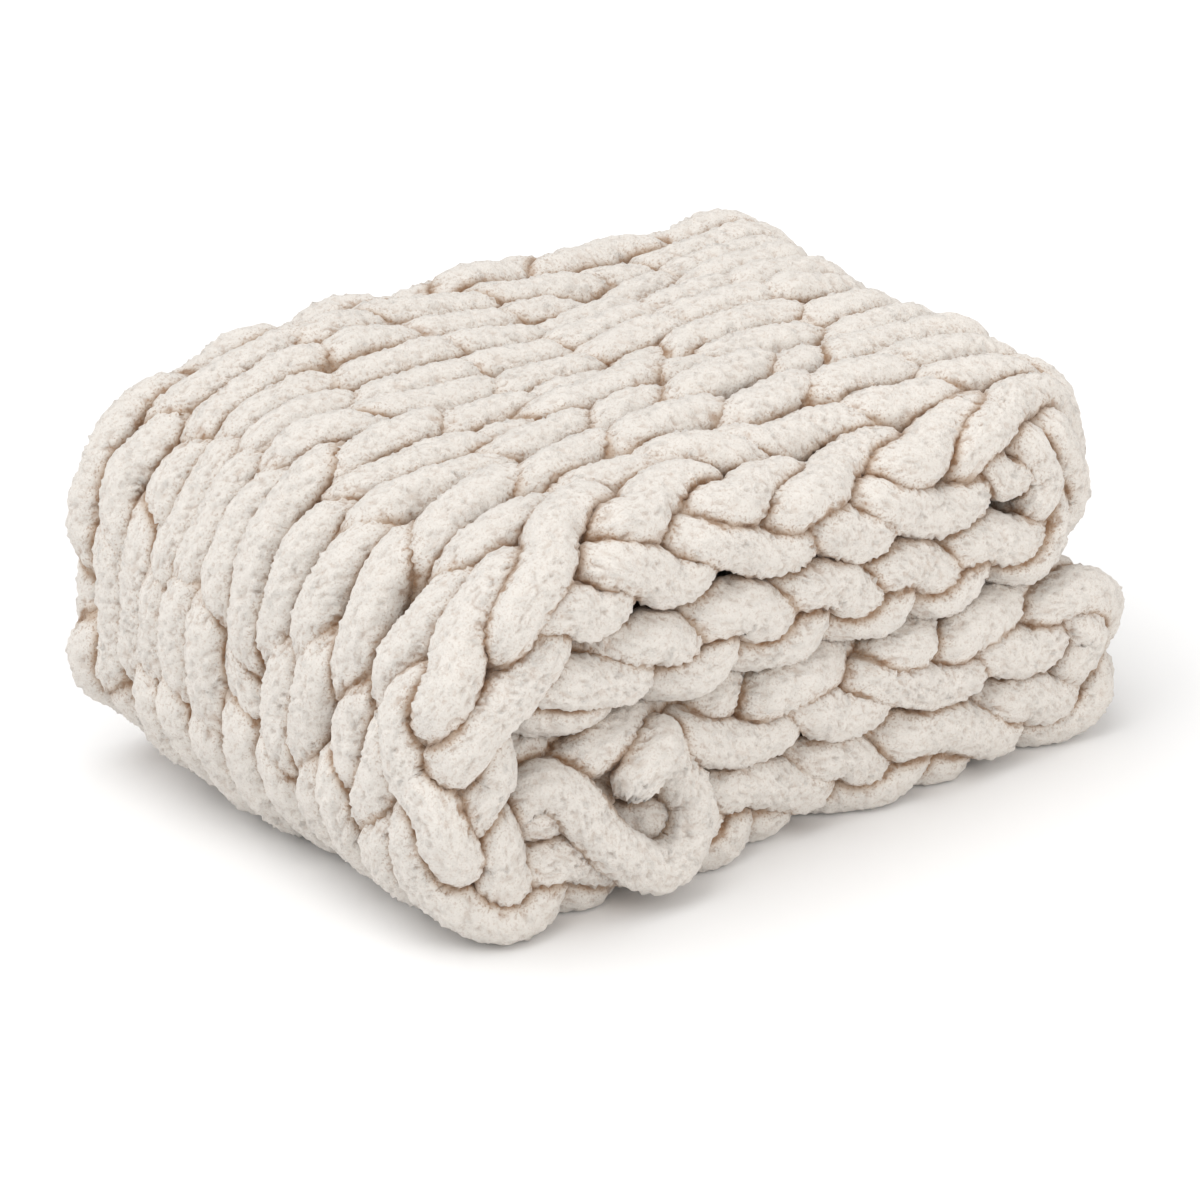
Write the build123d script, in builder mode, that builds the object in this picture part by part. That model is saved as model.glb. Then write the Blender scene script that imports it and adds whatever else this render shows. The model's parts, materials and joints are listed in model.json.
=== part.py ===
from build123d import *
import os

# A chunky hand-knitted throw, folded for a shelf. Both ends of the long fabric are turned in to the
# middle and the whole is then folded in half, so four plies lie on each other: the top ply, the two
# turned-in flaps and the base ply. The wales run from end to end of the fabric, along X here.
# +X points from the spine to the end folds, +Y from the front selvage to the back one, +Z is up.
# The origin is at the bottom centre of the bounding box. All sizes are millimetres.

# Driving dimensions
folded_width = 435.0       # spine to end folds, along X
depth_at_spine = 305.0     # front selvage to back selvage at the spine, along Y
depth_at_ends = 275.0      # the same at the end folds, where the fabric is drawn together
ply_thickness = 51.0       # one ply, about two yarns thick
ply_gap = 0.5              # between an outer ply and the flap or edge that lies against it
halves_gap = 1.0           # between the two halves, which open like a book
spine_top_radius = 92.0    # outside radius where the spine turns into the top ply
spine_base_radius = 58.0   # outside radius where the spine, which sags, turns into the base ply
edge_width = 45.0          # the cast-on and bind-off edges, one row wide
outer_join = 30.0          # X where one yarn length ends and the next begins, in the outer plies
flap_join = 20.0           # the same in the turned-in flaps

# Heights of the undersides of the plies
base_z = 0.0
lower_flap_z = base_z + ply_thickness + ply_gap
upper_flap_z = lower_flap_z + ply_thickness + halves_gap
top_z = upper_flap_z + ply_thickness + ply_gap
folded_height = top_z + ply_thickness
middle_z = folded_height / 2

# The spine keeps a little straight wall at the middle, however thin the plies are, and stays wide
# enough outside for the rounded corner of a knitted edge inside it, however thick they are
least_corner_radius = 5.0
largest_radius = folded_height / 2 - halves_gap
smallest_radius = ply_thickness + ply_gap + least_corner_radius
top_radius = min(max(spine_top_radius, smallest_radius), largest_radius)
base_radius = min(max(spine_base_radius, smallest_radius), largest_radius)

# Stations along X
outside_x = -folded_width / 2
spine_wall_x = outside_x + ply_thickness
edge_x = spine_wall_x + ply_gap
flap_x = edge_x + edge_width
top_x = outside_x + top_radius
base_x = outside_x + base_radius
end_radius = ply_thickness + ply_gap / 2
end_x = folded_width / 2 - end_radius

# Sections are drawn in the front plane and extruded towards the back, where a slanting plane
# along the back selvage cuts them off
front_plane = Plane.XZ.offset(depth_at_spine / 2)
selvage_run = Vector(folded_width, depth_at_ends - depth_at_spine, 0).normalized()
back_plane = Plane(
    origin=(outside_x, depth_at_spine / 2, 0),
    x_dir=selvage_run,
    z_dir=Vector(0, 0, 1).cross(selvage_run),
)

os.makedirs("parts", exist_ok=True)


def extrude_to_back():
    extrude(amount=-depth_at_spine)
    split(bisect_by=back_plane, keep=Keep.BOTTOM)


def save(piece, name):
    piece.part.label = name
    export_step(piece.part, f"parts/{name}.step")


def flat_rows(name, x_from, x_to, underside_z):
    """A flat run of rows: one ply thick, between two joins in the yarn."""
    with BuildPart() as rows:
        with BuildSketch(front_plane):
            with Locations(((x_from + x_to) / 2, underside_z + ply_thickness / 2)):
                Rectangle(x_to - x_from, ply_thickness)
        extrude_to_back()
    save(rows, name)


def spine_rows(name, side, outside_radius):
    """Half of the spine: a wall from the middle up (side 1) or down (side -1), turning into its ply."""
    centre_x = outside_x + outside_radius
    centre_z = middle_z + side * (folded_height / 2 - outside_radius)
    inside_radius = outside_radius - ply_thickness
    start_z = middle_z + side * halves_gap / 2
    with BuildPart() as rows:
        with BuildSketch(front_plane):
            with BuildLine():
                Line((spine_wall_x, start_z), (outside_x, start_z))
                Line((outside_x, start_z), (outside_x, centre_z))
                CenterArc((centre_x, centre_z), outside_radius, 180, -90 * side)
                Line(
                    (centre_x, centre_z + side * outside_radius),
                    (centre_x, centre_z + side * inside_radius),
                )
                CenterArc((centre_x, centre_z), inside_radius, 180, -90 * side)
                Line((spine_wall_x, centre_z), (spine_wall_x, start_z))
            make_face()
        extrude_to_back()
    save(rows, name)


def end_fold_rows(name, centre_z):
    """A half cylinder of rows where the fabric doubles back on itself with no opening left."""
    with BuildPart() as rows:
        with BuildSketch(front_plane):
            with BuildLine():
                CenterArc((end_x, centre_z), end_radius, -90, 180)
                Line((end_x, centre_z - end_radius), (end_x, centre_z + end_radius))
            make_face()
        extrude_to_back()
    save(rows, name)


def knitted_edge(name, side, inner_z, spine_radius):
    """The edge at a flap's free end, with one corner rounded to lie inside the spine."""
    corner_radius = spine_radius - ply_thickness - ply_gap
    outer_z = inner_z + side * ply_thickness
    with BuildPart() as edge:
        with BuildSketch(front_plane):
            with BuildLine():
                Line((flap_x, outer_z), (flap_x, inner_z))
                Line((flap_x, inner_z), (edge_x, inner_z))
                Line((edge_x, inner_z), (edge_x, outer_z - side * corner_radius))
                CenterArc((edge_x + corner_radius, outer_z - side * corner_radius), corner_radius, 180, -90 * side)
                Line((edge_x + corner_radius, outer_z), (flap_x, outer_z))
            make_face()
        extrude_to_back()
    save(edge, name)


# Lower half, in the order in which it was knitted
knitted_edge("cast_on_edge", -1, lower_flap_z + ply_thickness, base_radius)
flat_rows("lower_flap_first_rows", flap_x, flap_join, lower_flap_z)
flat_rows("lower_flap_last_rows", flap_join, end_x, lower_flap_z)
end_fold_rows("lower_end_fold_rows", (base_z + lower_flap_z + ply_thickness) / 2)
flat_rows("base_ply_first_rows", outer_join, end_x, base_z)
flat_rows("base_ply_last_rows", base_x, outer_join, base_z)
spine_rows("spine_lower_rows", -1, base_radius)

# Upper half, on from the spine
spine_rows("spine_upper_rows", 1, top_radius)
flat_rows("top_ply_first_rows", top_x, outer_join, top_z)
flat_rows("top_ply_last_rows", outer_join, end_x, top_z)
end_fold_rows("upper_end_fold_rows", (upper_flap_z + top_z + ply_thickness) / 2)
flat_rows("upper_flap_first_rows", flap_join, end_x, upper_flap_z)
flat_rows("upper_flap_last_rows", flap_x, flap_join, upper_flap_z)
knitted_edge("bind_off_edge", 1, upper_flap_z, top_radius)

print(f"folded height {folded_height:.1f} mm, hinge line at x {outside_x:.1f}, z {middle_z:.1f}")
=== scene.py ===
"""A chunky hand-knitted chenille throw, folded for a shelf, knitted yarn by yarn around its CAD frame."""

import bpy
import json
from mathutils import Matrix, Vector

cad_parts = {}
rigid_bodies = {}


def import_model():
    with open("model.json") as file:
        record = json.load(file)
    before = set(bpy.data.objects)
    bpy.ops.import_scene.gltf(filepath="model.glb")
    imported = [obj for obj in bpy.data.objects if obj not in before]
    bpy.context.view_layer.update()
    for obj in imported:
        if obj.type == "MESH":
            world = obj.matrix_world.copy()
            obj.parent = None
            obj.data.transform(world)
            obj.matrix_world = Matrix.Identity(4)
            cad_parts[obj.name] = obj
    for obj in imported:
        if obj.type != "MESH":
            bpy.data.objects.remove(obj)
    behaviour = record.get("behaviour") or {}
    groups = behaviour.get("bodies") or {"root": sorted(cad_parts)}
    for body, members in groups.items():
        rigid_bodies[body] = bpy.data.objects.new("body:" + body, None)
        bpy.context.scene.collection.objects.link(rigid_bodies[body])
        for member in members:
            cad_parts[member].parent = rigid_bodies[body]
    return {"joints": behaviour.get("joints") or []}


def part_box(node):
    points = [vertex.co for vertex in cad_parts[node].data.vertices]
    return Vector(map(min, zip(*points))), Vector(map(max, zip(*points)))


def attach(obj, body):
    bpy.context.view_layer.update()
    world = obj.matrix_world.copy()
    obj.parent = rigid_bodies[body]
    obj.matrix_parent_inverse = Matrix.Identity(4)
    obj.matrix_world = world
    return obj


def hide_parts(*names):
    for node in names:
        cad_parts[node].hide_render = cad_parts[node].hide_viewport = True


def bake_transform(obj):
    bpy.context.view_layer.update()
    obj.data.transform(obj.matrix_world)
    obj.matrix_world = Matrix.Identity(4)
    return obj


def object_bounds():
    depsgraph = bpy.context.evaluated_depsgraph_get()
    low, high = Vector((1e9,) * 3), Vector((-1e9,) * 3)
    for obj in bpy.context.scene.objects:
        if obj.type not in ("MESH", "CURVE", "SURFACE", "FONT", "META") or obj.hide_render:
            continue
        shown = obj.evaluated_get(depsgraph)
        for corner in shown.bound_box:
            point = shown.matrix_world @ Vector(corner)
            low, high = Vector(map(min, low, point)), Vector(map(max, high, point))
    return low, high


bl_info = {
    "name": "Folded Chenille Throw",
    "version": (1, 0, 0),
    "blender": (4, 5, 0),
    "location": "View3D > Sidebar > Throw",
    "description": "Knits a folded throw, one length of yarn at a time, and sets its studio",
    "category": "Object",
}

import json
import math

import bpy
import numpy as np
from mathutils import Vector
from mathutils.kdtree import KDTree

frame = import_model()
cad_low, cad_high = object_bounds()

TAU = 2 * math.pi
JOINT = frame["joints"][0]
LOWER, UPPER = JOINT["parent"], JOINT["child"]

# Sizes that come from the frame, in metres
BASE_LOW, BASE_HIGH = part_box("base_ply_last_rows")
TOP_LOW, TOP_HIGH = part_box("top_ply_first_rows")
END_LOW, END_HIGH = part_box("upper_end_fold_rows")
FLAP_LOW, FLAP_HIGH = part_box("lower_flap_first_rows")
UPPER_FLAP_LOW, UPPER_FLAP_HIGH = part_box("upper_flap_last_rows")
EDGE_LOW, EDGE_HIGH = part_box("cast_on_edge")
PLY = BASE_HIGH.z - BASE_LOW.z
HEIGHT = cad_high.z
MIDDLE = HEIGHT / 2
OUTSIDE_X = cad_low.x
TOP_X, BASE_X = TOP_LOW.x, BASE_LOW.x
END_X, END_OUT_X = END_LOW.x, END_HIGH.x
OUTER_JOIN_X, FLAP_JOIN_X = TOP_HIGH.x, FLAP_HIGH.x
FRONT_Y, BACK_Y = cad_low.y, cad_high.y
END_BACK_Y = END_HIGH.y

# The lengths of yarn, in the order in which they were knitted, with the body that each rides on
LENGTHS = (
    ("cast_on_edge", LOWER),
    ("lower_flap_first_rows", LOWER),
    ("lower_flap_last_rows", LOWER),
    ("lower_end_fold_rows", LOWER),
    ("base_ply_first_rows", LOWER),
    ("base_ply_last_rows", LOWER),
    ("spine_lower_rows", None),
    ("spine_upper_rows", None),
    ("top_ply_first_rows", UPPER),
    ("top_ply_last_rows", UPPER),
    ("upper_end_fold_rows", UPPER),
    ("upper_flap_first_rows", UPPER),
    ("upper_flap_last_rows", UPPER),
    ("bind_off_edge", UPPER),
)

# Columns of a line of yarn: x, y and z, and then these
THICK = 3                 # thickness, as a share of the yarn's own
INWARD = 4                # depth under the outer layer of strands
OUTWARD = slice(5, 8)     # direction out of the ply
FACE = slice(8, 11)       # x and z of the ply's upper normal, and the height over the ply's middle
ROW, PHASE = 11, 12       # number of the row, and how far along it

# How the rows are laid
EDGE_ROOM = 0.014         # from an edge of the cloth to the middle of its first or last row
SELVAGE_BEND = 0.011      # radius at which a row turns from the face of a ply to its selvage
LEG_CREST = 3.2           # the more, the longer a leg stays on top before it dives under the next row
LAID_SPACING = 0.006      # between the points of a strand until it has settled

# How uneven the knitting is from stitch to stitch
UNEVEN_REACH = 0.09       # share of a loop's reach
UNEVEN_LEAN = 0.32        # share of a leg's lean
UNEVEN_WIDTH = 0.062      # share of a stitch's width
UNEVEN_PITCH = 0.004      # along the wale
UNEVEN_DEPTH = 0.002      # into the ply
UNEVEN_THICKNESS = 0.065  # share of the yarn's thickness

# How the strands settle
TURNS = 80
FRONT_WALE_END = 3.6      # phase at which the loose front wale ends
NEXT_WALE, SAME_WALE, FRONT_WALE = 0.79, 0.49, 0.77    # how near two strands may come, as a share of their thickness
PUSH = 0.9                # share of an overlap that is pushed out in a turn, split between a point's contacts
LEAST_CONTACTS = 4        # and between this many at least, so that no point is thrown past its neighbours
STIFFNESS = 0.28          # share of a bend that straightens in a turn
TENSION = 0.3             # share of a stretch that springs back in a turn
MEMORY = 0.03             # share of the way back to where it was laid that a strand goes in a turn

# The pile: how high its swells and tufts stand, and how large they are
SWELL, SWELL_SIZE = 0.0008, 0.020
SMALL_SWELL, SMALL_SWELL_SIZE = 0.0004, 0.0080
TUFT, TUFT_SIZE = 0.0009, 0.0028
STRAY_PILE = 0.00052
DEEP_PIT = 0.0011

# Painted shade in the creases between strands
CREASE_REACH = 0.010      # from the next strand to where the crease starts to show
STRAND_REACH = 0.036      # how far round a strand the next ones are looked for
SAME_STRAND = 0.030       # nearer than this along a length of yarn is the strand itself

# The tail of the cast-on yarn, from its frayed tip to the first stitch: it hangs in a loop out of the front of the
# lower half and was never woven in
TAIL = (
    (-0.113, -0.157, 0.064), (-0.103, -0.157, 0.088), (-0.091, -0.143, 0.093), (-0.082, -0.136, 0.068),
    (-0.073, -0.151, 0.048), (-0.070, -0.157, 0.029), (-0.088, -0.159, 0.0155), (-0.109, -0.159, 0.020),
    (-0.125, -0.157, 0.038), (-0.135, -0.150, 0.058), (-0.143, -0.138, 0.072),
)


class ThrowSettings(bpy.types.PropertyGroup):
    """Sizes and colours of the throw that a user would change."""

    yarn_thickness: bpy.props.FloatProperty(
        name="Yarn thickness", description="Diameter of the chenille yarn as it lies in a stitch",
        default=0.0262, min=0.005, unit="LENGTH")
    row_pitch: bpy.props.FloatProperty(
        name="Row pitch", description="Distance from one row to the next along a wale",
        default=0.0560, min=0.01, unit="LENGTH")
    loop_reach: bpy.props.FloatProperty(
        name="Loop reach", description="Half of a loop's height along the wale",
        default=0.055, min=0.01, unit="LENGTH")
    loop_lean: bpy.props.FloatProperty(
        name="Loop lean", description="How far the legs of a stitch lean, as a share of its width",
        default=0.105, min=0.0, max=0.4, subtype="FACTOR")
    wales: bpy.props.IntProperty(
        name="Wales", description="Stitches across the throw", default=7, min=2)
    front_slack: bpy.props.FloatProperty(
        name="Front slack", description="How much wider the wales are at the front than on average",
        default=0.22, min=0.0, max=0.5, subtype="FACTOR")
    seed: bpy.props.IntProperty(
        name="Seed", description="Seed of the unevenness of the hand knitting", default=7)
    yarn_colour: bpy.props.FloatVectorProperty(
        name="Yarn colour", description="Colour of the pile", default=(0.815, 0.772, 0.718), subtype="COLOR", size=3)
    # Painted shade: a darker, warmer colour mixed into the pile in the hollows between strands, where shade falls
    hollow_shade_colour: bpy.props.FloatVectorProperty(
        name="Hollow colour", description="Colour of the pile in the hollows between strands",
        default=(0.50, 0.37, 0.265), subtype="COLOR", size=3)
    # Painted shade: the dark brown mixed into the pile in its pits, near the next strand and along the lines where
    # strands press together; the random flecks take it too
    crease_colour: bpy.props.FloatVectorProperty(
        name="Crease colour", description="Colour of the pile where strands press together",
        default=(0.34, 0.19, 0.10), subtype="COLOR", size=3)


# The lie of the folded cloth

def run_along(points):
    """Distance of each point from the first, along the line."""
    return np.concatenate(([0], np.cumsum(np.linalg.norm(np.diff(points, axis=0), axis=1))))


def fold_path():
    """The middle of the cloth from the cast-on edge to the bind-off edge: stations, and x, z and tangent at each,
    and the stations at which one length of yarn ends and the next begins."""
    step = 0.001
    half = PLY / 2
    lower_flap_z = (FLAP_LOW.z + FLAP_HIGH.z) / 2
    upper_flap_z = (UPPER_FLAP_LOW.z + UPPER_FLAP_HIGH.z) / 2
    free_end = EDGE_LOW.x + 0.01
    base_radius = BASE_X - OUTSIDE_X
    top_radius = TOP_X - OUTSIDE_X
    wall_x = OUTSIDE_X + half
    points = []
    joins = []

    def line(start, end):
        count = max(int(math.dist(start, end) / step), 1)
        for i in range(count):
            share = i / count
            points.append((start[0] + (end[0] - start[0]) * share, start[1] + (end[1] - start[1]) * share))

    def arc(x, z, radius, start, turn):
        count = int(abs(turn) * radius / step)
        for i in range(count):
            angle = start + turn * i / count
            points.append((x + radius * math.cos(angle), z + radius * math.sin(angle)))

    def fold(low, high):
        arc(END_X, (low + high) / 2, (high - low) / 2, math.pi / 2, -math.pi)

    def runs(z, *stations):
        for x_from, x_to in zip(stations[:-1], stations[1:]):
            line((x_from, z), (x_to, z))
            joins.append(len(points))

    runs(lower_flap_z, free_end, EDGE_HIGH.x, FLAP_JOIN_X, END_X)
    fold(half, lower_flap_z)
    joins.append(len(points))
    runs(half, END_X, OUTER_JOIN_X, BASE_X)
    arc(BASE_X, base_radius, base_radius - half, -math.pi / 2, -math.pi / 2)
    line((wall_x, base_radius), (wall_x, MIDDLE))
    joins.append(len(points))
    line((wall_x, MIDDLE), (wall_x, HEIGHT - top_radius))
    arc(TOP_X, HEIGHT - top_radius, top_radius - half, math.pi, -math.pi / 2)
    joins.append(len(points))
    runs(HEIGHT - half, TOP_X, OUTER_JOIN_X, END_X)
    fold(upper_flap_z, HEIGHT - half)
    joins.append(len(points))
    runs(upper_flap_z, END_X, FLAP_JOIN_X, EDGE_HIGH.x, free_end)
    path = np.array(points)
    tangent = np.gradient(path, axis=0)
    tangent /= np.linalg.norm(tangent, axis=1)[:, None]
    station = run_along(path)
    marks = [-1.0] + [float(station[min(k, len(station) - 1)]) for k in joins[:-1]] + [float(station[-1]) + 1]
    return station, path, tangent, marks


STATION, PATH, TANGENT, JOINS = fold_path()


def waves(points, length, seed):
    """Smooth uneven vectors, about 1 long, that change over a given length."""
    draw = np.random.default_rng(seed)
    out = np.zeros_like(points)
    for _ in range(7):
        direction = draw.normal(size=3)
        direction *= TAU / length / np.linalg.norm(direction) * draw.uniform(0.7, 1.3)
        phase = draw.uniform(0, TAU)
        push = draw.normal(size=3)
        out += np.sin(points @ direction + phase)[:, None] * push
    return out / math.sqrt(7)


def lay(station, across, inward, yarn_radius):
    """Places points of the knitting. across runs 0 to 1 from the front edge of a ply, up over its outer face and
    down its back edge, and inward is the depth under the outer layer of strands."""
    x = np.interp(station, STATION, PATH[:, 0])
    z = np.interp(station, STATION, PATH[:, 1])
    tx = np.interp(station, STATION, TANGENT[:, 0])
    tz = np.interp(station, STATION, TANGENT[:, 1])
    size = np.hypot(tx, tz)
    nx, nz = -tz / size, tx / size
    share = np.clip((x - OUTSIDE_X) / (END_OUT_X - OUTSIDE_X), 0, 1)
    front = FRONT_Y + yarn_radius
    back = BACK_Y + (END_BACK_Y - BACK_Y) * share - yarn_radius
    rise = PLY / 2 - yarn_radius

    # A row runs up the front edge, round a bend and over the face, and goes down the same way at the back
    side = 2 * rise - SELVAGE_BEND
    bend = SELVAGE_BEND * math.pi / 2
    flat = back - front - 2 * SELVAGE_BEND
    total = 2 * side + 2 * bend + flat
    u = across * total
    mirrored = u > total / 2
    v = np.where(mirrored, total - u, u)
    angle = np.clip((v - side) / SELVAGE_BEND, 0, math.pi / 2)
    on_side = v < side
    on_flat = v > side + bend
    y = np.where(on_side, 0, np.where(on_flat, SELVAGE_BEND + v - side - bend, SELVAGE_BEND * (1 - np.cos(angle))))
    n = np.where(on_side, v - rise, np.where(on_flat, rise, rise - SELVAGE_BEND * (1 - np.sin(angle))))
    ny = -np.cos(angle)
    nn = np.sin(angle)
    n = np.maximum(n, -rise * 1.1)
    y = np.where(mirrored, back - y, front + y)
    ny = np.where(mirrored, -ny, ny)
    y -= inward * ny
    n -= inward * nn
    place = np.column_stack((x + n * nx, y, z + n * nz))
    return place, np.column_stack((nn * nx, ny, nn * nz)), np.column_stack((nx, nz, n))


def row_course(settings, draw):
    """One row of stitches as stations about its middle, shares across, depths and thickness, front to back."""
    wales = settings.wales
    per_stitch = 40

    # t turns once in each stitch, up one leg and down the other, and knot counts the legs
    t = np.linspace(-math.pi * 0.93, (2 * wales - 1) * math.pi - math.pi * 0.07, wales * per_stitch)
    knot = t / math.pi
    knots = np.arange(-2, 2 * wales + 2)

    def uneven(amount):
        """Drawn anew for each leg and even in between."""
        return np.interp(knot, knots, draw.normal(size=len(knots))) * amount

    # The legs of the front wale lean furthest
    loose = 1 + 1.6 * ease(1 - knot / 3)
    reach = settings.loop_reach * (1 + uneven(UNEVEN_REACH))
    lean = settings.loop_lean * loose * (1 + uneven(UNEVEN_LEAN))
    stitch = t / TAU + lean * np.sin(2 * t) + uneven(UNEVEN_WIDTH)
    share = (stitch + 0.25) / (wales - 0.5)
    across = share + settings.front_slack * np.sin(math.pi * np.clip(share, 0, 1)) / math.pi
    station = reach * np.cos(t) + uneven(UNEVEN_PITCH)
    depth = (PLY - settings.yarn_thickness) / 2
    inward = 2 * depth * np.abs(np.cos(t)) ** LEG_CREST + uneven(UNEVEN_DEPTH)
    thick = 0.98 - 0.05 * np.cos(2 * t) + uneven(UNEVEN_THICKNESS)
    return station, across, inward, thick, t


class Knit:
    """All the yarn of the throw, which the operators share."""

    def __init__(self, settings):
        draw = np.random.default_rng(settings.seed)
        length = STATION[-1]
        count = int(round((length - 2 * EDGE_ROOM) / settings.row_pitch))
        pitch = (length - 2 * EDGE_ROOM) / (count - 1)
        self.radius = settings.yarn_thickness / 2
        rows = [row_course(settings, draw) for _ in range(count)]
        lines = {}
        for (name, _), low, high in zip(LENGTHS, JOINS[:-1], JOINS[1:]):
            parts = []
            for i, (station, across, inward, thick, phase) in enumerate(rows):
                middle = EDGE_ROOM + i * pitch
                if low <= middle < high:
                    at = np.clip(middle + station, 0, length)
                    place, outward, level = lay(at, across, inward, self.radius)
                    part = np.column_stack((place, thick, inward, outward, level, np.full(len(at), i), phase))
                    parts.append(part if len(parts) % 2 == 0 else part[::-1])
            if name == "cast_on_edge":
                loose = np.zeros((len(TAIL), parts[0].shape[1]))
                loose[:, :3] = TAIL
                loose[:, THICK] = 1
                loose[:, OUTWARD] = (0, -1, 0)
                loose[:, FACE] = (0, 1, 0)
                loose[:, ROW] = -9
                parts.insert(0, loose)
            lines[name] = spread(np.concatenate(parts), lambda data: np.full(len(data), LAID_SPACING), 0.010)
        settle(lines, self.radius)
        self.lines = {}
        for name, line in lines.items():
            line[:, :3] = lie(line[:, :3])
            self.lines[name] = spread(line, self.spacing, 0.005)
        self.strands = all_strands(self.lines, self.radius)

    def spacing(self, data):
        """Distance between the rings of a tube: short where the pile shows, long under the outer layer."""
        return 0.00182 + 0.0031 * ease((data[:, INWARD] - 0.010) / 0.008)


def spread(data, spacing, rounding):
    """Spreads points along a line at a given spacing and rounds off its sharp turns."""
    for _ in range(2):
        run = run_along(data[:, :3])
        fine = np.linspace(0, run[-1], max(int(run[-1] / 0.001), 8))
        data = np.column_stack([np.interp(fine, run, column) for column in data.T])
        width = int(rounding / 0.001)
        kernel = np.hanning(2 * width + 3)[1:-1]
        kernel /= kernel.sum()
        padded = np.pad(data, ((width, width), (0, 0)), mode="edge")
        data = np.column_stack([np.convolve(column, kernel, mode="valid") for column in padded.T])
    rings = np.concatenate(([0], np.cumsum(0.001 / spacing(data))))[:-1]
    at = np.linspace(0, rings[-1], max(int(rings[-1]), 8))
    return np.column_stack([np.interp(at, rings, column) for column in data.T])


def ease(value):
    """0 below 0, 1 above 1 and smooth between."""
    value = np.clip(value, 0, 1)
    return value * value * (3 - 2 * value)


def settle(lines, radius):
    """Lets the strands push each other apart and bend evenly, until they press on each other as soft yarn does.
    The legs of one wale sink further into each other than those of two wales, except in the loose front wale."""
    names = list(lines)
    points = np.concatenate([lines[name][:, :3] for name in names])
    owner = np.concatenate([np.full(len(lines[name]), k) for k, name in enumerate(names)])
    thick = np.concatenate([lines[name][:, THICK] for name in names]) * radius
    face_x, face_z, level = np.concatenate([lines[name][:, FACE] for name in names]).T
    size = np.hypot(face_x, face_z)
    face_x, face_z = face_x / size, face_z / size
    row, phase = np.concatenate([lines[name][:, [ROW, PHASE]] for name in names]).T
    half = PLY / 2 - radius + 0.001
    nearest = np.minimum(points[:, 1], FRONT_Y + radius - 0.002)
    start = points.copy()
    linked = np.flatnonzero(owner[:-1] == owner[1:])
    rest = np.linalg.norm(points[linked + 1] - points[linked], axis=1)
    inner = np.flatnonzero((owner[:-2] == owner[2:])) + 1
    for turn in range(TURNS):
        if turn % 10 == 0:
            first, second = near_pairs(points, owner, 2.3 * radius, 5)
            one_wale = (abs(row[first] - row[second]) < 1.5) & (abs(phase[first] - phase[second]) < 1.4)
            in_front = np.minimum(phase[first], phase[second]) < FRONT_WALE_END
            closeness = np.where(in_front, FRONT_WALE, np.where(one_wale, SAME_WALE, NEXT_WALE))

        # Strands that are too near push each other apart
        away = points[second] - points[first]
        distance = np.linalg.norm(away, axis=1)
        overlap = np.clip(closeness * (thick[first] + thick[second]) - distance, 0, None)
        push = away * (overlap / np.maximum(distance, 1e-5))[:, None]
        touching = np.bincount(second, overlap > 0, len(points)) + np.bincount(first, overlap > 0, len(points))
        share = PUSH / np.maximum(touching, LEAST_CONTACTS)
        for axis in range(3):
            move = np.bincount(second, push[:, axis], len(points)) - np.bincount(first, push[:, axis], len(points))
            points[:, axis] += share * move

        # Bends straighten a little, and a stretched strand springs back
        points[inner] += STIFFNESS * ((points[inner - 1] + points[inner + 1]) / 2 - points[inner])
        link = points[linked + 1] - points[linked]
        span = np.linalg.norm(link, axis=1)
        pull = link * (TENSION * (span - rest) / np.maximum(span, 1e-5))[:, None]
        for axis in range(3):
            points[:, axis] += np.bincount(linked, pull[:, axis], len(points))
            points[:, axis] -= np.bincount(linked + 1, pull[:, axis], len(points))

        # No strand wanders off, leaves its ply or goes past the front or the back
        points += MEMORY * (start - points)
        risen = (points[:, 0] - start[:, 0]) * face_x + (points[:, 2] - start[:, 2]) * face_z
        back = np.clip(risen, -half - level, half - level) - risen
        points[:, 0] += back * face_x
        points[:, 2] += back * face_z
        points[:, 1] = np.clip(points[:, 1], nearest, BACK_Y - radius + 0.002)
    done = 0
    for name in names:
        count = len(lines[name])
        lines[name][:, :3] = points[done:done + count]
        done += count


def near_pairs(points, owner, reach, apart):
    """Pairs of points that are near each other, but not neighbours along one length of yarn."""
    tree = KDTree(len(points))
    for k, point in enumerate(points):
        tree.insert(point, k)
    tree.balance()
    first, second = [], []
    for k, point in enumerate(points):
        for _, other, _ in tree.find_range(point, reach):
            if other > k and (owner[other] != owner[k] or other - k > apart):
                first.append(k)
                second.append(other)
    return np.array(first), np.array(second)


def lie(points):
    """Shifts the folded cloth, so that no ply lies straight: sunk along its front, full at the back, uneven."""
    x, y, z = points.T
    height = np.clip(z / HEIGHT, 0, 1)
    from_front = y - FRONT_Y

    # Each is 1 in its own part of the throw and fades to 0 outside
    upper = ease((z / HEIGHT - 0.42) / 0.12)
    low = ease(1 - z / 0.09)
    to_end = ease((x - 0.05) / (END_OUT_X - 0.05))
    to_back = ease((y - 0.01) / 0.13)
    outer = ease((-x - 0.13) / 0.07)
    pull = ease(1 - from_front / 0.042) * upper * to_end
    bulge = ease(1 - abs(from_front - 0.055) / 0.06) * upper * to_end

    # The end folds: the upper one is drawn in at its front corner and full behind it
    x = x - 0.026 * pull + 0.014 * bulge + 0.008 * to_end * (1 - upper)
    x = x - 0.003 * outer * ease(1 - abs(z - 0.07) / 0.08)
    x = x + 0.010 * ease((from_front - 0.2) / 0.08) * to_end * upper

    # The height: lowest along the front, highest at the back of the left half
    crown = 0.925 + 0.080 * ease(from_front / 0.11) + 0.016 * ease((from_front - 0.14) / 0.12)
    raised = 0.02 * ease((from_front - 0.17) / 0.1) * ease((0.03 - x) / 0.12)
    z = z * (crown + raised) + 0.016 * outer * to_back * low

    # Long and short waves, which die away towards what the throw lies on
    shift = waves(points, 0.30, 11) * 0.0035 + waves(points, 0.12, 12) * 0.0028
    shift[:, 2] *= height
    return np.column_stack((x, y, z)) + shift


KNITS = {}


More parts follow.
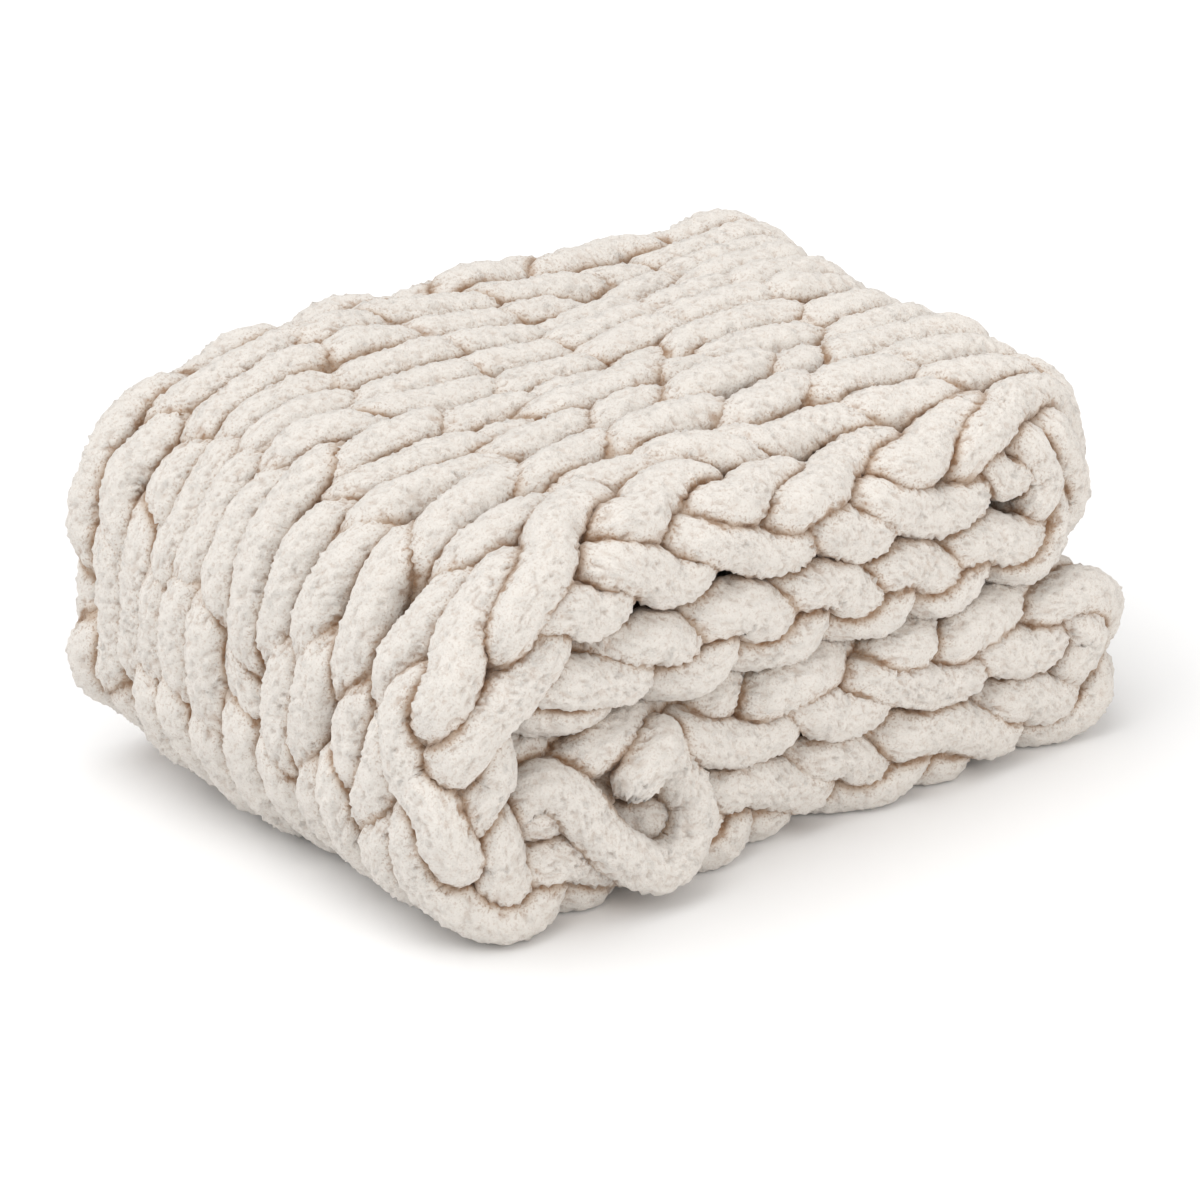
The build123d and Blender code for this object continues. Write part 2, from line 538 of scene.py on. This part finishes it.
def knit():
    """The knitting at the sizes that are set, which is laid again only when one of them has changed."""
    settings = bpy.context.scene.throw_settings
    names = ("yarn_thickness", "row_pitch", "loop_reach", "loop_lean", "wales", "front_slack", "seed")
    sizes = tuple(getattr(settings, name) for name in names)
    if sizes not in KNITS:
        KNITS[sizes] = Knit(settings)
    return KNITS[sizes]


def value_noise(points, size, seed):
    """Smooth noise from -1 to 1 with features of a given size."""
    p = points / size + seed * 17.13
    cell = np.floor(p).astype(np.int64)
    f = p - cell
    f = f * f * (3 - 2 * f)
    total = np.zeros(len(p))
    for corner in range(8):
        offset = np.array([corner & 1, (corner >> 1) & 1, (corner >> 2) & 1])
        c = cell + offset
        h = (c[:, 0] * 374761393 + c[:, 1] * 668265263 + c[:, 2] * 2147483647 + seed * 974634777) & 0xFFFFFFFF
        h = ((h ^ (h >> 13)) * 1274126177) & 0xFFFFFFFF
        value = ((h ^ (h >> 16)) & 0xFFFF) / 32767.5 - 1
        weight = np.prod(np.where(offset, f, 1 - f), axis=1)
        total += value * weight
    return total


def frames_along(points):
    """The tangent of a line at each point and two directions across it, which don't twist along the way."""
    tangent = np.gradient(points, axis=0)
    tangent /= np.linalg.norm(tangent, axis=1)[:, None]
    normals = np.empty_like(points)
    normal = np.cross(tangent[0], (0.3, 0.2, 1.0))
    for i in range(len(points)):
        normal = normal - tangent[i] * (normal @ tangent[i])
        normal /= math.sqrt(normal @ normal)
        normals[i] = normal
    return tangent, normals, np.cross(tangent, normals)


def yarn_surface(name, line, radius):
    """Rings of points round a line of yarn, with its uneven pile, and at each point how deep it lies in a pit, for
    the painted pit shade, and its depth.
    """
    points, outward = line[:, :3], line[:, OUTWARD]
    count = len(points)
    sides = 36
    tangent, normals, other = frames_along(points)
    run = run_along(points)
    left = np.minimum(run, run[-1] - run) / radius
    closing = np.sqrt(np.clip(1 - (1 - np.clip(left, 0.02, 1)) ** 2, 0, 1))
    ring = radius * line[:, THICK] * closing

    # The points of a ring lie closer together on the side that shows
    turn = np.broadcast_to(np.arange(sides) / sides * TAU, (count, sides))
    along_normal = (outward * normals).sum(axis=1)[:, None]
    along_other = (outward * other).sum(axis=1)[:, None]
    turn = turn - 0.4 * (np.sin(turn) * along_normal - np.cos(turn) * along_other)
    spoke = normals[:, None, :] * np.cos(turn)[:, :, None] + other[:, None, :] * np.sin(turn)[:, :, None]
    flat = (points[:, None, :] + spoke * ring[:, None, None]).reshape(-1, 3)

    # The pile swells and thins along the yarn, and its tufts stand up unevenly
    draw = np.random.default_rng(len(name) + count)
    swell = SWELL * value_noise(flat, SWELL_SIZE, 1) + SMALL_SWELL * value_noise(flat, SMALL_SWELL_SIZE, 2)
    tufts = TUFT * value_noise(flat, TUFT_SIZE, 3) + STRAY_PILE * draw.normal(size=len(flat))

    # Only the tip of the cast-on tail is frayed
    frayed = ease(1 - run / 0.012)[:, None, None] * (name == "cast_on_edge")
    out_of_line = spoke * draw.uniform(0, 0.003, (count, sides, 1))
    wisps = out_of_line - tangent[:, None, :] * draw.uniform(0, 0.006, (count, sides, 1))
    flat = flat + spoke.reshape(-1, 3) * ((swell + tufts) * np.repeat(closing, sides))[:, None]
    flat = flat + (wisps * frayed).reshape(-1, 3)

    # The lowest strands are pressed flat by what they lie on
    flat[:, 2] = np.where(flat[:, 2] < 0.001, 0.0004 + 0.0006 * np.exp((flat[:, 2] - 0.001) / 0.004), flat[:, 2])
    # How deep each point lies between the tufts, which sets the painted shade in the pits
    pit_shade = np.clip(-tufts / DEEP_PIT, 0, 1)
    sunk = line[:, INWARD, None] + radius * (1 - (spoke * outward[:, None, :]).sum(axis=2))
    return flat.reshape(count, sides, 3), pit_shade, sunk, run


def tube_mesh(name, rings, tips):
    """A closed mesh through rings of points, with a fan of triangles to the tip at each end."""
    count, sides = rings.shape[:2]
    flat = rings.reshape(-1, 3)
    first = np.arange(count - 1)[:, None] * sides
    side = np.arange(sides)[None, :]
    after = (side + 1) % sides
    quads = np.stack((first + side, first + after, first + sides + after, first + sides + side), axis=-1)
    faces = quads.reshape(-1, 4)
    last = (count - 1) * sides
    caps = []
    for i in range(sides):
        j = (i + 1) % sides
        caps.append((len(flat), j, i))
        caps.append((len(flat) + 1, last + i, last + j))
    vertices = np.concatenate((flat, tips))
    loops = np.concatenate((faces.ravel(), np.array(caps).ravel()))
    starts = np.concatenate((np.arange(len(faces)) * 4, len(faces) * 4 + np.arange(len(caps)) * 3))
    mesh = bpy.data.meshes.new(name)
    mesh.vertices.add(len(vertices))
    mesh.vertices.foreach_set("co", vertices.astype(np.float32).ravel())
    mesh.loops.add(len(loops))
    mesh.loops.foreach_set("vertex_index", loops.astype(np.int32))
    mesh.polygons.add(len(starts))
    mesh.polygons.foreach_set("loop_start", starts.astype(np.int32))
    mesh.polygons.foreach_set("use_smooth", np.ones(len(starts), bool))
    mesh.update(calc_edges=True)
    mesh.validate()
    return mesh


def yarn_piece(name):
    """A closed tube of chenille for a node, marked with where painted shade goes in its creases and pits."""
    knitting = knit()
    line = knitting.lines[name]
    points = line[:, :3]
    rings, pit_shade, sunk, run = yarn_surface(name, line, knitting.radius)
    crease_shade = crease_of(points, rings, run, name, knitting.strands)

    # The painted crease shade shows most in the grooves of the outer layer, and hardly on the inner face of a ply
    crease_shade = crease_shade * (0.5 + 0.5 * ease((sunk - 0.002) / 0.008)) * (1 - 0.8 * ease((sunk - 0.030) / 0.010))
    mesh = tube_mesh(name, rings, np.array([points[0], points[-1]]))
    for label, values in (("crease_shade", crease_shade.reshape(-1)), ("pit_shade", pit_shade)):
        attribute = mesh.attributes.new(label, "FLOAT", "POINT")
        attribute.data.foreach_set("value", np.concatenate((values, (0, 0))).astype(np.float32))
    obj = bpy.data.objects.new(name + "_yarn", mesh)
    bpy.context.collection.objects.link(obj)
    return obj


def crease_of(points, surface, run, name, strands):
    """How near each point of the surface is to another strand, which sets the painted crease shade: 1 where they
    touch, 0 beyond its reach.
    """
    tree, centres, radii, runs, owners, names = strands
    me = names.index(name)
    out = np.zeros(surface.shape[:2])
    for i in range(len(points)):
        near = [k for _, k, _ in tree.find_range(points[i], STRAND_REACH)
                if owners[k] != me or abs(runs[k] - run[i]) > SAME_STRAND]
        if not near:
            continue
        gap = np.linalg.norm(surface[i][:, None, :] - centres[near][None], axis=2) - radii[near][None]
        out[i] = np.clip(1 - gap.min(axis=1) / CREASE_REACH, 0, 1.5)
    return out


def all_strands(lines, radius):
    """All centre lines in one search tree, with the radius, the run and the length of yarn at each point."""
    names = list(lines)
    step = 2
    centres, radii, runs, owners = [], [], [], []
    for k, name in enumerate(names):
        line = lines[name]
        run = run_along(line[:, :3])
        centres.append(line[::step, :3])
        radii.append(line[::step, THICK] * radius)
        runs.append(run[::step])
        owners.append(np.full(len(line[::step]), k))
    centres = np.concatenate(centres)
    tree = KDTree(len(centres))
    for k, point in enumerate(centres):
        tree.insert(point, k)
    tree.balance()
    return tree, centres, np.concatenate(radii), np.concatenate(runs), np.concatenate(owners), names


# Material

def chenille():
    """Cream chenille: a fuzzy pile with fine flecks, with painted shade in its pits, and painted shade, warmer and
    darker, in the hollows and where strands press together.
    """
    material = bpy.data.materials.get("chenille")
    if material:
        return material
    settings = bpy.context.scene.throw_settings
    material = bpy.data.materials.new("chenille")
    material.use_nodes = True
    nodes, links = material.node_tree.nodes, material.node_tree.links
    shader = nodes["Principled BSDF"]
    shader.inputs["Roughness"].default_value = 0.95
    shader.inputs["Specular IOR Level"].default_value = 0.12
    shader.inputs["Sheen Weight"].default_value = 0.4
    shader.inputs["Sheen Roughness"].default_value = 0.5
    shader.inputs["Sheen Tint"].default_value = (1, 0.94, 0.88, 1)
    place = nodes.new("ShaderNodeTexCoord")

    def noise(scale, detail, roughness=0.5):
        node = nodes.new("ShaderNodeTexNoise")
        node.inputs["Scale"].default_value = scale
        node.inputs["Detail"].default_value = detail
        node.inputs["Roughness"].default_value = roughness
        links.new(place.outputs["Object"], node.inputs["Vector"])
        return node.outputs["Fac"]

    def spread_between(value, low, high, to_low=0.0, to_high=1.0):
        node = nodes.new("ShaderNodeMapRange")
        node.interpolation_type = "SMOOTHSTEP"
        links.new(value, node.inputs["Value"])
        node.inputs["From Min"].default_value = low
        node.inputs["From Max"].default_value = high
        node.inputs["To Min"].default_value = to_low
        node.inputs["To Max"].default_value = to_high
        return node.outputs["Result"]

    def calculate(operation, first, second):
        node = nodes.new("ShaderNodeMath")
        node.operation = operation
        links.new(first, node.inputs[0])
        links.new(second, node.inputs[1])
        return node.outputs["Value"]

    def mixed(factor, first, second):
        node = nodes.new("ShaderNodeMix")
        node.data_type = "RGBA"
        links.new(factor, node.inputs["Factor"])
        for value, socket in ((first, node.inputs["A"]), (second, node.inputs["B"])):
            if isinstance(value, bpy.types.NodeSocket):
                links.new(value, socket)
            else:
                socket.default_value = (*value, 1)
        return node.outputs["Result"]

    def attribute(name):
        node = nodes.new("ShaderNodeAttribute")
        node.attribute_name = name
        return node.outputs["Fac"]

    pile = settings.yarn_colour
    crease_shade = settings.crease_colour
    nearness = attribute("crease_shade")
    even = mixed(noise(45, 2), pile, [c * 0.96 for c in pile])
    # Painted shade in the hollows between strands, stronger the nearer the next strand
    shade = mixed(spread_between(nearness, 0.38, 1.0, 0.0, 0.85), even, settings.hollow_shade_colour)
    # Painted shade in the pits between tufts, in the crease colour, strongest near the next strand
    pit_shade = spread_between(attribute("pit_shade"), 0.2, 1.0, 0.0, 0.6)
    near_crease = spread_between(nearness, 0.05, 0.75, 0.34, 1.0)
    pit_shaded = mixed(calculate("MULTIPLY", pit_shade, near_crease), shade, crease_shade)
    # Fine flecks of random tone in the crease colour, partly the yarn's own specks and partly painted shade, as they
    # grow stronger near the next strand
    flecks_and_crease_shade = calculate("MULTIPLY", spread_between(noise(700, 3, 0.65), 0.50, 0.34, 0.0, 0.7), near_crease)
    flecked_and_shaded = mixed(flecks_and_crease_shade, pit_shaded, crease_shade)
    # Painted shade: thin, broken dark lines where strands press together
    patchy = spread_between(noise(75, 3), 0.38, 0.60, 0.2, 1.0)
    pressed_shade = spread_between(nearness, 0.64, 0.95, 0.0, 1.0)
    ragged = spread_between(noise(430, 2), 0.25, 0.60, 0.35, 1.0)
    lines = calculate("MULTIPLY", calculate("MULTIPLY", pressed_shade, patchy), ragged)
    links.new(mixed(lines, flecked_and_shaded, [c * 0.8 for c in crease_shade]), shader.inputs["Base Color"])
    bump = nodes.new("ShaderNodeBump")
    bump.inputs["Strength"].default_value = 0.8
    bump.inputs["Distance"].default_value = 0.0012
    links.new(noise(650, 4, 0.65), bump.inputs["Height"])
    links.new(bump.outputs["Normal"], shader.inputs["Normal"])
    return material


def make_lengths(*names):
    """Makes the yarn of the named nodes, with its finish and the body that it moves with."""
    bodies = dict(LENGTHS)
    for name in names:
        obj = yarn_piece(name)
        obj.data.materials.append(chenille())
        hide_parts(name)
        if bodies[name]:
            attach(obj, bodies[name])
        else:
            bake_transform(obj)


class THROW_OT_edges(bpy.types.Operator):
    """Knits the cast-on and bind-off edges"""

    bl_idname = "throw.edges"
    bl_label = "Cast-on and bind-off edges"

    def execute(self, context):
        make_lengths("cast_on_edge", "bind_off_edge")
        return {"FINISHED"}


class THROW_OT_flaps(bpy.types.Operator):
    """Knits the turned-in flaps"""

    bl_idname = "throw.flaps"
    bl_label = "Flaps"

    def execute(self, context):
        make_lengths("lower_flap_first_rows", "lower_flap_last_rows", "upper_flap_first_rows", "upper_flap_last_rows")
        return {"FINISHED"}


class THROW_OT_end_folds(bpy.types.Operator):
    """Knits the rows that double back at the right end"""

    bl_idname = "throw.end_folds"
    bl_label = "End folds"

    def execute(self, context):
        make_lengths("lower_end_fold_rows", "upper_end_fold_rows")
        return {"FINISHED"}


class THROW_OT_plies(bpy.types.Operator):
    """Knits the base ply and the top ply"""

    bl_idname = "throw.plies"
    bl_label = "Top and base plies"

    def execute(self, context):
        make_lengths("base_ply_first_rows", "base_ply_last_rows", "top_ply_first_rows", "top_ply_last_rows")
        return {"FINISHED"}


class THROW_OT_spine(bpy.types.Operator):
    """Knits the rounded spine where the throw opens, which moves with neither half"""

    bl_idname = "throw.spine"
    bl_label = "Spine"

    def execute(self, context):
        make_lengths("spine_lower_rows", "spine_upper_rows")
        return {"FINISHED"}


class THROW_OT_stage(bpy.types.Operator):
    """Sets the floor, the soft light and the camera"""

    bl_idname = "throw.stage"
    bl_label = "Studio"

    def execute(self, context):
        bpy.ops.object.select_all(action="DESELECT")
        bpy.ops.mesh.primitive_plane_add(size=30, location=(0, 0, -0.0002))
        floor = context.object
        floor.name = "floor"
        paint = bpy.data.materials.new("floor_paint")
        paint.use_nodes = True
        shader = paint.node_tree.nodes["Principled BSDF"]
        shader.inputs["Base Color"].default_value = (0.92, 0.92, 0.92, 1)
        shader.inputs["Roughness"].default_value = 1.0
        shader.inputs["Specular IOR Level"].default_value = 0.0
        floor.data.materials.append(paint)
        world = bpy.data.worlds.new("studio")
        world.use_nodes = True
        world.node_tree.nodes["Background"].inputs["Color"].default_value = (1, 1, 1, 1)
        world.node_tree.nodes["Background"].inputs["Strength"].default_value = 0.66
        context.scene.world = world
        sun = bpy.data.lights.new("key", "SUN")
        sun.energy = 1.80
        sun.angle = math.radians(60)
        key = bpy.data.objects.new("key", sun)
        key.rotation_euler = (-Vector((-1.0, 0.25, 2.1))).to_track_quat("-Z", "Y").to_euler()
        context.collection.objects.link(key)
        soft_box = bpy.data.lights.new("fill", "AREA")
        soft_box.shape = "SQUARE"
        soft_box.size = 1.6
        soft_box.energy = 15
        soft_box.color = (1.0, 0.955, 0.91)
        fill = bpy.data.objects.new("fill", soft_box)
        fill.location = (0.5, -2.4, 0.9)
        fill.rotation_euler = (-fill.location).to_track_quat("-Z", "Y").to_euler()
        context.collection.objects.link(fill)
        camera = bpy.data.objects.new("camera", bpy.data.cameras.new("camera"))
        context.collection.objects.link(camera)
        camera.data.lens = 150
        camera.data.clip_end = 100
        target = Vector((0.0, 0.0, 0.080))
        azimuth, elevation, distance = math.radians(-39.3), math.radians(23.5), 2.5
        direction = Vector((
            math.sin(azimuth) * math.cos(elevation),
            -math.cos(azimuth) * math.cos(elevation),
            math.sin(elevation),
        ))
        camera.location = target + direction * distance
        camera.rotation_euler = (-direction).to_track_quat("-Z", "Y").to_euler()
        context.scene.camera = camera
        context.scene.view_settings.view_transform = "Standard"
        return {"FINISHED"}


class THROW_PT_panel(bpy.types.Panel):
    """Lists the throw's sizes and operators in the sidebar"""

    bl_label = "Folded Throw"
    bl_idname = "THROW_PT_panel"
    bl_space_type = "VIEW_3D"
    bl_region_type = "UI"
    bl_category = "Throw"

    def draw(self, context):
        settings = context.scene.throw_settings
        for name in settings.__annotations__:
            self.layout.prop(settings, name)
        for step in STEPS:
            self.layout.operator(step.bl_idname)


STEPS = (THROW_OT_stage, THROW_OT_edges, THROW_OT_flaps, THROW_OT_end_folds, THROW_OT_plies, THROW_OT_spine)
CLASSES = (ThrowSettings, *STEPS, THROW_PT_panel)


def register():
    for cls in CLASSES:
        bpy.utils.register_class(cls)
    bpy.types.Scene.throw_settings = bpy.props.PointerProperty(type=ThrowSettings)


def unregister():
    del bpy.types.Scene.throw_settings
    for cls in reversed(CLASSES):
        bpy.utils.unregister_class(cls)


def main():
    register()
    for step in STEPS:
        group, name = step.bl_idname.split(".")
        getattr(getattr(bpy.ops, group), name)()


if __name__ == "__main__":
    main()
